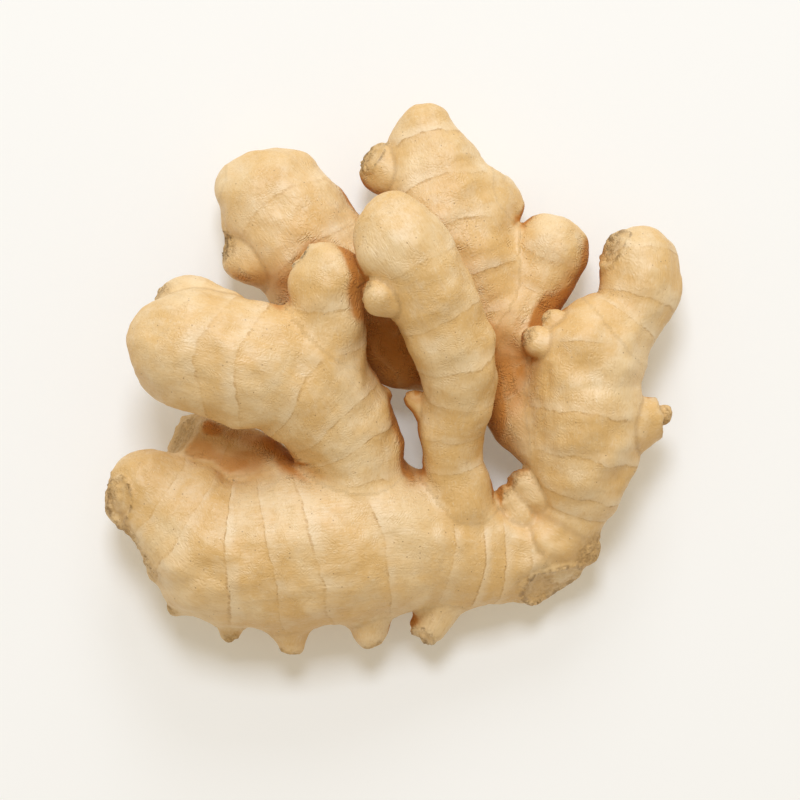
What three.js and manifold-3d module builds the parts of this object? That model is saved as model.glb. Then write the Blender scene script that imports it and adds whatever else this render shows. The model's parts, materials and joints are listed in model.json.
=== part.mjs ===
// A hand of fresh ginger: the knobbly underground stem (rhizome) of the ginger plant, lying on a flat surface.
// It grew as one piece, so it is one closed solid. Thick shoots run into each other with soft hollows at their
// roots, low swellings run from ring to ring along each shoot, and small buds and root stubs stand out of it.
// Millimetres, +Z up. The origin is on the surface that the hand lies on, under the middle of its outline.

import * as THREE from "three";
import { mergeVertices } from "three/addons/utils/BufferGeometryUtils.js";
import Module from "manifold-3d";

// Size of the grid cells that the skin is worked out on, and how many rounds even out and settle the net.
const CELL = 3.95;
const SETTLE_ROUNDS = 4;
const NEWTON_STEPS = 4;
const GRID_LOW = [-82, -78, -8];
const GRID_HIGH = [82, 80, 62];

// The skin swells by this much half-way between two rings, and lies this uneven at large.
const SWELL = 0.8;
const UNEVEN = 0.45;

// Shoots that only lie against each other keep a crease this narrow, and a broken end has an edge this round.
const CREASE = 3;
const CUT_EDGE = 2.5;

// Further away than this a shoot has no part in the shape of the skin.
const REACH = 14;

// A shoot is a swollen stem along a smooth line. Each point of its line is x, y, z and the half-width there.
// "flat" is a cross-section's height over its width, "melt" is how widely the root of the shoot runs into the
// shoot it grew from, "rings" are the places of its leaf scars in millimetres along the line, and "cut" is the
// middle of a broken end with the way that it faces.
const SHOOTS = {
  stock: {
    flat: 0.84,
    line: [
      [-64.0, -28.2, 20, 10.4],
      [-54.9, -36.3, 18.8, 14.6],
      [-44.8, -44.2, 18.0, 18.8],
      [-24.5, -43.7, 17.2, 20.9],
      [-12.8, -42.7, 16.7, 20.4],
      [1.6, -41.4, 15.3, 18.6],
      [19.9, -44.1, 12.3, 14.7],
      [36.2, -46.5, 10.6, 12.1],
    ],
    rings: [9, 19, 29, 40, 50, 63, 79, 89, 96, 102, 110],
    cut: { at: [42.8, -54.2, 10], facing: [0.55, -0.55, 0.63] },
  },
  right_branch: {
    from: "stock",
    flat: 0.9,
    melt: 8,
    line: [
      [42.4, -42.3, 12.5, 10.0],
      [47.0, -32.7, 15, 9.4],
      [49.5, -21.5, 18, 13.0],
      [50.1, -8.4, 20.5, 14.8],
      [49.8, 6.1, 21.5, 13.5],
    ],
    rings: [5, 13, 20, 29, 38, 53],
  },
  right_knob: {
    from: "right_branch",
    flat: 0.92,
    melt: 7,
    line: [
      [53.5, 9.0, 21, 11.7],
      [61.4, 16.3, 20, 9.1],
      [64.0, 23.8, 19, 10.2],
      [64.1, 29.1, 18, 10.7],
    ],
    rings: [9, 17, 25],
  },
  middle_finger: {
    from: "stock",
    flat: 0.9,
    melt: 5,
    line: [
      [16.6, -31.4, 19, 9.4],
      [15.3, -20.1, 22.5, 8.0],
      [15.3, -11.3, 26, 8.8],
      [16.7, -0.7, 30.5, 9.8],
      [15.6, 7.0, 34, 10.5],
      [12.0, 15.6, 37, 10.7],
      [7.4, 24.5, 39.5, 11.7],
      [2.6, 32.9, 41, 12.2],
      [0.5, 36.2, 41, 10.7],
    ],
    rings: [10, 20, 31, 41, 54, 68],
  },
  left_branch: {
    from: "stock",
    flat: 0.88,
    melt: 6,
    line: [
      [-9.6, -28.8, 18, 13.0],
      [-11.4, -16.0, 22, 13.6],
      [-19.5, -5.6, 27, 14.8],
      [-28.0, 1.2, 31, 15.7],
      [-39.5, 4.4, 33, 16.2],
      [-53.3, 7.8, 33, 14.9],
    ],
    rings: [8, 18, 28, 40, 53, 60],
  },
  left_bump: {
    from: "left_branch",
    flat: 0.95,
    melt: 8,
    line: [
      [-17.9, 3.0, 28, 10.4],
      [-16.8, 15.7, 34, 9.6],
      [-16.6, 25.1, 36, 9.7],
    ],
    rings: [9, 18],
  },
  left_shoulder: {
    from: "left_branch",
    flat: 0.9,
    melt: 3.5,
    line: [
      [-44.3, 14.8, 28, 8.2],
      [-54.4, 20.4, 26, 6.9],
    ],
    rings: [6],
  },
  low_stub: {
    from: "stock",
    flat: 0.95,
    melt: 5,
    line: [
      [-27.2, -31.5, 13, 10.5],
      [-39.1, -22.4, 11.5, 9.4],
      [-51.5, -17.1, 10.5, 8.6],
      [-60.0, -14.0, 10.5, 8.6],
    ],
    rings: [10, 20],
    cut: { at: [-54.9, -14.2, 10.5], facing: [-0.77, 0.52, 0.38] },
  },
  back_finger: {
    from: "right_branch",
    flat: 0.86,
    melt: 8,
    line: [
      [43.3, -15.8, 15, 11.5],
      [33.5, -6.6, 12.5, 11.0],
      [27.8, 7.8, 11.5, 11.5],
      [22.0, 23.5, 11.8, 13.6],
      [15.2, 39.7, 12.6, 15.2],
      [9.9, 54.9, 12.5, 12.3],
      [7.8, 63.3, 12.5, 8.6],
    ],
    rings: [16, 30, 42, 53, 64, 74, 84],
  },
  finger_shoulder: {
    from: "back_finger",
    flat: 0.9,
    melt: 5,
    line: [
      [18.6, 40.5, 13, 10.5],
      [25.3, 46.4, 12, 8.1],
    ],
    rings: [],
  },
  side_knob: {
    from: "back_finger",
    flat: 0.95,
    melt: 6,
    line: [
      [31.0, 12.0, 13, 10.5],
      [36.4, 22.5, 12.5, 8.6],
      [41.1, 33.9, 13, 9.4],
    ],
    rings: [12, 21],
  },
  back_left: {
    from: "back_finger",
    flat: 0.8,
    melt: 9,
    line: [
      [22.5, 10.4, 12, 10.5],
      [6.8, 8.8, 12, 11.5],
      [-5.0, 14.3, 12, 13.1],
      [-16.8, 26.1, 12.4, 15.2],
      [-25.2, 37.9, 12.8, 16.0],
      [-31.4, 46.0, 13, 14.9],
    ],
    rings: [15, 30, 45, 57, 67],
  },
  edge_swelling: {
    from: "back_left",
    flat: 0.9,
    melt: 4,
    line: [
      [-25.3, 29.8, 12, 9.8],
      [-36.6, 32.6, 13.5, 8.0],
    ],
    rings: [],
  },
  tip_swelling: {
    from: "back_left",
    flat: 0.9,
    melt: 5,
    line: [
      [-32.5, 45.7, 13, 10.5],
      [-40.3, 49.1, 14, 6.5],
    ],
    rings: [],
  },
};

// Buds and root stubs, turned round a straight line that starts inside the shoot. Each has its root, its tip,
// the half-width at both, and the way that it ends: "round", "cut" flat with a hollow, or to a "point".
const BUDS = {
  middle_knob: { root: [4.6, 19.4, 38.5], tip: [-6.6, 22.4, 45.4], widths: [5.4, 4.6], end: "round" },
  middle_bud: { root: [8.8, -8.4, 26], tip: [3.6, -3.3, 26], widths: [3.4, 2.8], end: "round" },
  gap_bud: { root: [38.6, -30.4, 16.5], tip: [31.0, -25.2, 18.5], widths: [4.9, 3.6], end: "round" },
  edge_bud: { root: [32.4, -35.2, 15.5], tip: [28.6, -28.6, 18.5], widths: [5.0, 3.2], end: "round" },
  inner_bud: { root: [41.4, 8.4, 24.5], tip: [34.0, 11.2, 26.5], widths: [5.4, 4.0], end: "round" },
  sheath_bud: { root: [46.2, 11.4, 23.5], tip: [38.8, 17.4, 24.5], widths: [5.8, 3.6], end: "round" },
  right_bud: { root: [59.0, -11.4, 19.5], tip: [69.0, -9.9, 18.5], widths: [9.0, 5.4], end: "cut" },
  right_tip: { root: [66.0, -9.7, 18.8], tip: [72.0, -9.3, 18.2], widths: [4.0, 1.4], end: "point" },
  branch_nub: { root: [-5.0, -4.5, 24], tip: [-0.9, -3.9, 23.5], widths: [2.8, 1.7], end: "round" },
  left_nub: { root: [-46.6, -6.0, 24], tip: [-46.0, -10.6, 23.5], widths: [3.3, 1.7], end: "round" },
  finger_bud: { root: [5.4, 53.8, 12], tip: [-8.0, 55.8, 12.5], widths: [8.2, 7.0], end: "round" },
  left_rim: { root: [-63.0, -33.2, 18], tip: [-75.0, -30.6, 17.5], widths: [9.6, 7.6], end: "round" },
  corner_nub: { root: [-54.0, -56.0, 14.5], tip: [-58.6, -60.8, 13.5], widths: [5.2, 2.2], end: "round" },
  stub_one: { root: [-44.6, -57.0, 14.5], tip: [-43.0, -68.4, 12], widths: [4.8, 2.7], end: "round" },
  stub_two: { root: [-26.3, -57.0, 14.5], tip: [-27.0, -71.8, 11.5], widths: [8.0, 3.7], end: "round" },
  stub_three: { root: [-6.0, -56.0, 13.5], tip: [-6.0, -69.8, 10.5], widths: [6.9, 4.8], end: "round" },
  stub_four: { root: [14.5, -54.0, 12], tip: [7.2, -68.6, 9.0], widths: [6.6, 4.6], end: "cut" },
  end_nub: { root: [43.0, -40.6, 13.5], tip: [52.8, -45.6, 13.5], widths: [9.2, 6.4], end: "round" },
};

// How many sides a bud has round its line, and how deep the hollow in a cut end is.
const BUD_SIDES = 12;
const BUD_HOLLOW = 0.5;

// Spans of a shoot's line are cut into this many straight steps.
const STEPS_PER_SPAN = 6;

// Points along a shoot's line, each with its half-width and its way along the line.
function smoothLine(line) {
  const centre = new THREE.CatmullRomCurve3(
    line.map(([x, y, z]) => new THREE.Vector3(x, y, z)),
    false,
    "catmullrom",
  );
  const width = new THREE.CatmullRomCurve3(
    line.map(([, , , halfWidth]) => new THREE.Vector3(halfWidth, 0, 0)),
    false,
    "catmullrom",
  );
  const count = (line.length - 1) * STEPS_PER_SPAN;
  const steps = [];
  let along = 0;
  for (let i = 0; i <= count; i++) {
    const at = centre.getPoint(i / count);
    if (i > 0) along += at.distanceTo(steps[i - 1].at);
    steps.push({ at, halfWidth: width.getPoint(i / count).x, along });
  }
  return steps;
}

// The box round a shoot, within which its skin lies.
function boxRound(steps) {
  const box = new THREE.Box3();
  for (const step of steps) {
    const ball = new THREE.Sphere(step.at, step.halfWidth);
    box.union(ball.getBoundingBox(new THREE.Box3()));
  }
  return box;
}

const shoots = Object.values(SHOOTS);
for (const shoot of shoots) {
  shoot.steps = smoothLine(shoot.line);
  shoot.box = boxRound(shoot.steps);
  shoot.parent = shoot.from ? SHOOTS[shoot.from] : null;
}

// 0 on a ring and 1 half-way to the next one.
function swellBetween(rings, along) {
  let i = 0;
  while (i < rings.length && rings[i] < along) i++;
  if (i === 0 || i === rings.length) return 0.5;
  const share = (along - rings[i - 1]) / (rings[i] - rings[i - 1]);
  return 4 * share * (1 - share);
}

// Two distances run together over the width "melt", which fills the corner between two surfaces.
function meltTogether(a, b, melt) {
  const near = Math.max(melt - Math.abs(a - b), 0) / melt;
  return Math.min(a, b) - (near * near * near * melt) / 6;
}

// Distance from a point to one shoot's skin, negative inside it.
function shootDistance(shoot, x, y, z) {
  const away = shoot.box.distanceToPoint(spot.set(x, y, z));
  if (away > REACH) return away;
  let best = Infinity;
  let bestAlong = 0;
  for (let i = 1; i < shoot.steps.length; i++) {
    const a = shoot.steps[i - 1];
    const b = shoot.steps[i];
    const dx = b.at.x - a.at.x;
    const dy = b.at.y - a.at.y;
    const dz = b.at.z - a.at.z;
    const px = x - a.at.x;
    const py = y - a.at.y;
    const pz = z - a.at.z;
    const share = (px * dx + py * dy + pz * dz) / (dx * dx + dy * dy + dz * dz);
    const t = Math.min(1, Math.max(0, share));
    const off = Math.hypot(px - t * dx, py - t * dy, (pz - t * dz) / shoot.flat);
    const distance = off - (a.halfWidth + t * (b.halfWidth - a.halfWidth));
    if (distance < best) {
      best = distance;
      bestAlong = a.along + t * (b.along - a.along);
    }
  }
  best -= SWELL * (swellBetween(shoot.rings, bestAlong) - 0.5);
  if (!shoot.cut) return best;
  const [atX, atY, atZ] = shoot.cut.at;
  const [towardX, towardY, towardZ] = shoot.cut.facing;
  const beyond = (x - atX) * towardX + (y - atY) * towardY + (z - atZ) * towardZ;
  return -meltTogether(-best, -beyond, CUT_EDGE);
}
const spot = new THREE.Vector3();

// Slow waves that keep the skin from looking turned on a lathe.
function unevenness(x, y, z) {
  const one = Math.sin(0.33 * x + 1.6 * Math.sin(0.17 * y)) * Math.sin(0.29 * y + 1.3 * Math.sin(0.21 * z));
  const two = Math.sin(0.19 * z - 0.27 * x + 2.1) * Math.sin(0.23 * y + 0.31 * z);
  return UNEVEN * (one + two);
}

// Distance to the whole hand: each shoot melts into the one it grew from, and only touches the others.
function handDistance(x, y, z) {
  let near = Infinity;
  for (const shoot of shoots) {
    shoot.near = shootDistance(shoot, x, y, z);
    near = meltTogether(near, shoot.near, CREASE);
  }
  let fill = 0;
  for (const shoot of shoots) {
    if (!shoot.parent) continue;
    const nearer = Math.min(shoot.near, shoot.parent.near);
    const filled = meltTogether(shoot.near, shoot.parent.near, shoot.melt) - nearer;
    const share = THREE.MathUtils.clamp(1 - (nearer - near) / shoot.melt, 0, 1);
    fill = Math.min(fill, filled * share);
  }
  return near + fill - unevenness(x, y, z);
}

// How the distance changes along x, y and z.
function handSlope(x, y, z) {
  const e = 0.05;
  return [
    (handDistance(x + e, y, z) - handDistance(x - e, y, z)) / (2 * e),
    (handDistance(x, y + e, z) - handDistance(x, y - e, z)) / (2 * e),
    (handDistance(x, y, z + e) - handDistance(x, y, z - e)) / (2 * e),
  ];
}

// Moves a point along the slope until it lies on the skin.
function ontoSkin(point) {
  for (let i = 0; i < NEWTON_STEPS; i++) {
    const distance = handDistance(...point);
    const slope = handSlope(...point);
    const steepness = slope[0] ** 2 + slope[1] ** 2 + slope[2] ** 2;
    const step = THREE.MathUtils.clamp(distance / Math.max(steepness, 0.2), -CELL / 3, CELL / 3);
    point = point.map((value, axis) => value - step * slope[axis]);
  }
  return point;
}

// The corners of a grid cell. Bit 0 of a corner's number is its place along x, bit 1 along y and bit 2 along z.
const CORNERS = Array.from({ length: 8 }, (_, c) => [c & 1, (c >> 1) & 1, (c >> 2) & 1]);

// The edges of a grid cell, each with the axis it runs along, its places across the next two axes and its ends.
const EDGES = [0, 1, 2].flatMap((axis) =>
  [0, 1, 2, 3].map((n) => {
    const places = [n & 1, n >> 1];
    const start = (places[0] << (axis + 1) % 3) | (places[1] << (axis + 2) % 3);
    return { axis, places, ends: [start, start | (1 << axis)] };
  }),
);

// The sides of a grid cell, each as the numbers of its four edges.
const SIDES = [0, 1, 2].flatMap((axis) =>
  [0, 1].map((place) => {
    const onSide = (corner) => CORNERS[corner][axis] === place;
    return [...EDGES.keys()].filter((e) => EDGES[e].ends.every(onSide));
  }),
);

// The sheet of skin that cuts each edge of a cell, or -1. Two shoots that pass close by are two sheets.
function sheetsIn(depths) {
  const sheets = EDGES.map(({ ends: [a, b] }, e) => (depths[a] < 0 === depths[b] < 0 ? -1 : e));
  for (const side of SIDES) {
    const cut = side.filter((e) => sheets[e] >= 0);
    for (const one of cut) {
      for (const other of cut) {
        const shareInside = EDGES[one].ends.some((c) => depths[c] < 0 && EDGES[other].ends.includes(c));
        if (cut.length > 2 && !shareInside) continue;
        const old = sheets[other];
        sheets.forEach((sheet, e) => {
          if (sheet === old) sheets[e] = sheets[one];
        });
      }
    }
  }
  return sheets;
}

// The middle of the places where one sheet of skin cuts the edges of a cell, in cells from its first corner.
function middleOfCuts(depths, cut) {
  const middle = [0, 0, 0];
  for (const e of cut) {
    const [a, b] = EDGES[e].ends;
    const t = depths[a] / (depths[a] - depths[b]);
    for (let axis = 0; axis < 3; axis++) {
      middle[axis] += (CORNERS[a][axis] + t * (CORNERS[b][axis] - CORNERS[a][axis])) / cut.length;
    }
  }
  return middle;
}

// Lays a net over the skin: one point for each sheet of skin in a grid cell, and one four-sided face across
// each grid edge that the skin cuts.
function skinNet() {
  const size = GRID_LOW.map((low, axis) => Math.ceil((GRID_HIGH[axis] - low) / CELL) + 1);
  const strides = [1, size[0], size[0] * size[1]];
  const depth = new Float64Array(size[0] * size[1] * size[2]);
  const cells = [];
  for (let k = 0; k < size[2]; k++) {
    for (let j = 0; j < size[1]; j++) {
      for (let i = 0; i < size[0]; i++) {
        const n = i + j * strides[1] + k * strides[2];
        const place = [i, j, k].map((value, axis) => GRID_LOW[axis] + value * CELL);
        depth[n] = handDistance(...place);
        cells.push({ n, place, inner: i < size[0] - 1 && j < size[1] - 1 && k < size[2] - 1 });
      }
    }
  }

  const points = [];
  const pointOf = new Map();
  for (const { n, place, inner } of cells) {
    if (!inner) continue;
    const depths = CORNERS.map((c) => depth[n + c[0] + c[1] * strides[1] + c[2] * strides[2]]);
    if (depths.every((d) => d < 0) || depths.every((d) => d >= 0)) continue;
    const sheets = sheetsIn(depths);
    for (const sheet of new Set(sheets)) {
      if (sheet < 0) continue;
      const cut = [...EDGES.keys()].filter((e) => sheets[e] === sheet);
      for (const e of cut) pointOf.set(n * EDGES.length + e, points.length);
      points.push(middleOfCuts(depths, cut).map((value, axis) => place[axis] + value * CELL));
    }
  }

  const quads = [];
  for (const { n } of cells) {
    for (let axis = 0; axis < 3; axis++) {
      const next = n + strides[axis];
      if (next >= depth.length || depth[n] < 0 === depth[next] < 0) continue;
      const quad = [3, 2, 0, 1].map((place) => {
        const back = (place & 1) * strides[(axis + 1) % 3] + (place >> 1) * strides[(axis + 2) % 3];
        return pointOf.get((n - back) * EDGES.length + axis * 4 + place);
      });
      quads.push(depth[n] < 0 ? quad : quad.reverse());
    }
  }
  return { points, quads };
}

// Evens out the net: each point moves to the middle of its neighbours and back on to the skin.
function settle(points, quads) {
  const around = points.map(() => new Set());
  for (const quad of quads) {
    quad.forEach((point, i) => {
      around[point].add(quad[(i + 1) % 4]);
      around[point].add(quad[(i + 3) % 4]);
    });
  }
  let placed = points.map(ontoSkin);
  for (let round = 0; round < SETTLE_ROUNDS; round++) {
    placed = placed.map((_, point) => {
      const near = [...around[point]].map((other) => placed[other]);
      const middle = [0, 1, 2].map((axis) => near.reduce((sum, p) => sum + p[axis], 0) / near.length);
      return ontoSkin(middle);
    });
  }
  return placed;
}

// The skin of the whole hand, each four-sided face cut along its shorter diagonal.
function skinGeometry() {
  const { points, quads } = skinNet();
  const placed = settle(points, quads);
  const gap = (a, b) => Math.hypot(...placed[a].map((value, axis) => value - placed[b][axis]));
  const faces = quads.flatMap(([a, b, c, d]) =>
    gap(a, c) < gap(b, d) ? [a, b, c, a, c, d] : [a, b, d, b, c, d],
  );
  const geometry = new THREE.BufferGeometry();
  geometry.setAttribute("position", new THREE.Float32BufferAttribute(placed.flat(), 3));
  geometry.setIndex(faces);
  return geometry;
}

// The outline of a bud from its root to its tip, as pairs of half-width and height.
function budOutline(height, rootWidth, tipWidth, end) {
  const waist = 0.4 * rootWidth + 0.6 * tipWidth;
  const outline = [
    [0, 0],
    [1.1 * rootWidth, 0],
    [rootWidth, 0.3 * height],
    [waist, 0.6 * height],
  ];
  if (end === "point") {
    outline.push([tipWidth, 0.82 * height]);
  } else if (end === "cut") {
    outline.push([tipWidth, height - 0.25 * tipWidth]);
    outline.push([0.75 * tipWidth, height]);
    outline.push([0.4 * tipWidth, height - 0.3 * BUD_HOLLOW]);
  } else {
    outline.push([tipWidth, height - 0.8 * tipWidth]);
    outline.push([0.82 * tipWidth, height - 0.35 * tipWidth]);
    outline.push([0.42 * tipWidth, height - 0.06 * tipWidth]);
  }
  outline.push([0, end === "cut" ? height - BUD_HOLLOW : height]);
  return outline.map(([x, y]) => new THREE.Vector2(x, y));
}

// A bud turned about its line from root to tip.
function budGeometry({ root, tip, widths, end }) {
  const from = new THREE.Vector3(...root);
  const way = new THREE.Vector3(...tip).sub(from);
  const outline = budOutline(way.length(), ...widths, end);
  const geometry = new THREE.LatheGeometry(outline, BUD_SIDES);
  const up = new THREE.Vector3(0, 1, 0);
  geometry.applyQuaternion(new THREE.Quaternion().setFromUnitVectors(up, way.normalize()));
  return geometry.translate(from.x, from.y, from.z);
}

const wasm = await Module();
wasm.setup();

// A three.js geometry as a closed solid, with equal points merged and empty triangles left out.
function solidFrom(geometry) {
  const bare = new THREE.BufferGeometry();
  bare.setAttribute("position", geometry.attributes.position);
  bare.setIndex(geometry.index);
  const merged = mergeVertices(bare, 1e-4);
  const index = merged.index.array;
  const kept = [];
  for (let i = 0; i < index.length; i += 3) {
    const [a, b, c] = [index[i], index[i + 1], index[i + 2]];
    if (a !== b && b !== c && c !== a) kept.push(a, b, c);
  }
  const mesh = new wasm.Mesh({
    numProp: 3,
    vertProperties: merged.attributes.position.array,
    triVerts: new Uint32Array(kept),
  });
  return new wasm.Manifold(mesh);
}

// A solid as a three.js geometry.
function geometryFrom(solid) {
  const mesh = solid.getMesh();
  const geometry = new THREE.BufferGeometry();
  geometry.setAttribute("position", new THREE.BufferAttribute(mesh.vertProperties, 3));
  geometry.setIndex(new THREE.BufferAttribute(mesh.triVerts, 1));
  geometry.computeVertexNormals();
  return geometry;
}

// Everything under the surface that the hand lies on. Its lowest places are flat where they meet it.
const UNDER_SIZE = [400, 400, 40];

function buildHand() {
  const buds = Object.values(BUDS).map((bud) => solidFrom(budGeometry(bud)));
  const under = new THREE.BoxGeometry(...UNDER_SIZE).translate(0, 0, -UNDER_SIZE[2] / 2);
  return wasm.Manifold.union([solidFrom(skinGeometry()), ...buds]).subtract(solidFrom(under));
}

const skin = new THREE.MeshStandardMaterial({ color: 0xdcb883, roughness: 0.55, metalness: 0 });
const hand = new THREE.Mesh(geometryFrom(buildHand()), skin);
hand.name = "ginger_root";

const group = new THREE.Group();
group.add(hand);
export default group;
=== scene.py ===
# %% [markdown]
# # A hand of fresh ginger
# Ginger is sold as a "hand": a thick underground stem whose swollen shoots grow out of each other. The skin
# is thin and papery, ringed where small leaves once sat, and rough where a bud, a root or a piece was
# broken off. The frame holds the plain solid of the whole hand. This lesson grows a finer skin over the
# same lines and widths, and gives it the rings, wrinkles, scars and colours of the real thing.

import json
import math

import bpy
import numpy as np
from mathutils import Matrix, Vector

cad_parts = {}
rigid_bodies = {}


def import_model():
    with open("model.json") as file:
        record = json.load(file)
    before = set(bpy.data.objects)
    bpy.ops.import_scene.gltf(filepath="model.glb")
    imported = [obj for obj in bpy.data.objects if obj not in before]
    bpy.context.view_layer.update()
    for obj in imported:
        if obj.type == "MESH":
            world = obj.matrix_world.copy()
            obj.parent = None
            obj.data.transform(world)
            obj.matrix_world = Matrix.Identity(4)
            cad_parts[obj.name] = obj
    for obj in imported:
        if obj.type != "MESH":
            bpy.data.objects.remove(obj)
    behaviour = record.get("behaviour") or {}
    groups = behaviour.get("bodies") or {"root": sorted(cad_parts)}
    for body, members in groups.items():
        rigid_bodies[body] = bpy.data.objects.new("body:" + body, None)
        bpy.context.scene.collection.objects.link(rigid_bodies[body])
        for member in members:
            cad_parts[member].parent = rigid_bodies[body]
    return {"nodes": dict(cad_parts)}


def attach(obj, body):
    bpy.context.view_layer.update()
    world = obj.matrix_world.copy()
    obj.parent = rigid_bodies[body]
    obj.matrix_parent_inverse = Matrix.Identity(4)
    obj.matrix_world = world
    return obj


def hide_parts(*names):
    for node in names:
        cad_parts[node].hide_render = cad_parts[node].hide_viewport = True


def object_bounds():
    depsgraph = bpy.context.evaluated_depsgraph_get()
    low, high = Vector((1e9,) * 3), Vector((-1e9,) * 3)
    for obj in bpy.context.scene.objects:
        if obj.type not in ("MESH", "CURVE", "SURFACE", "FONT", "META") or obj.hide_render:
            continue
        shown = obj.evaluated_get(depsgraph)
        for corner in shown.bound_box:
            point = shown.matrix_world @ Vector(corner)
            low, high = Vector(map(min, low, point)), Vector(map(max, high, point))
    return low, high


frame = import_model()
CAD_BOX = [list(corner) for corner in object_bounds()]
MM = 0.001
print("frame:", sorted(frame["nodes"]), "box in mm:", np.round(np.array(CAD_BOX) / MM, 1).tolist())

# %% [markdown]
# ## Camera
# The photograph looks straight down, so the picture is nearly a map of the hand. The camera hangs a metre
# over the floor with a long lens, which keeps the high shoots from looking larger than the low ones. It
# looks along -Z with +Y at the top of the picture, so it needs no turning at all.

# %% Camera
PICTURE_SIDE = 800
PIXELS_PER_TANGENT = 3769.2
SENSOR_WIDTH = 36.0
CAMERA_PLACE = (1.56, -5.33, 1000.0)

camera = bpy.data.objects.new("camera", bpy.data.cameras.new("camera"))
camera.data.sensor_width = SENSOR_WIDTH
camera.data.lens = PIXELS_PER_TANGENT / PICTURE_SIDE * SENSOR_WIDTH
camera.data.clip_start = 0.05
camera.data.clip_end = 20.0
camera.location = Vector(CAMERA_PLACE) * MM
bpy.context.scene.collection.objects.link(camera)
bpy.context.scene.camera = camera
print("camera lens in mm:", round(camera.data.lens, 1))

# %% [markdown]
# ## The shoots
# Every shoot is a swollen stem along a smooth line. A point of the line is x, y, z and the half-width
# there, in millimetres. "flat" is the height of a cross-section over its width, "melt" is how widely the
# root of a shoot runs into the shoot that it grew from, "rings" are the places of its leaf scars along the
# line, and "cut" is a broken end. "ledge" is how strongly its rings stand out, "bow" bends them into arcs,
# and "lean" tilts them.

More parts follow.
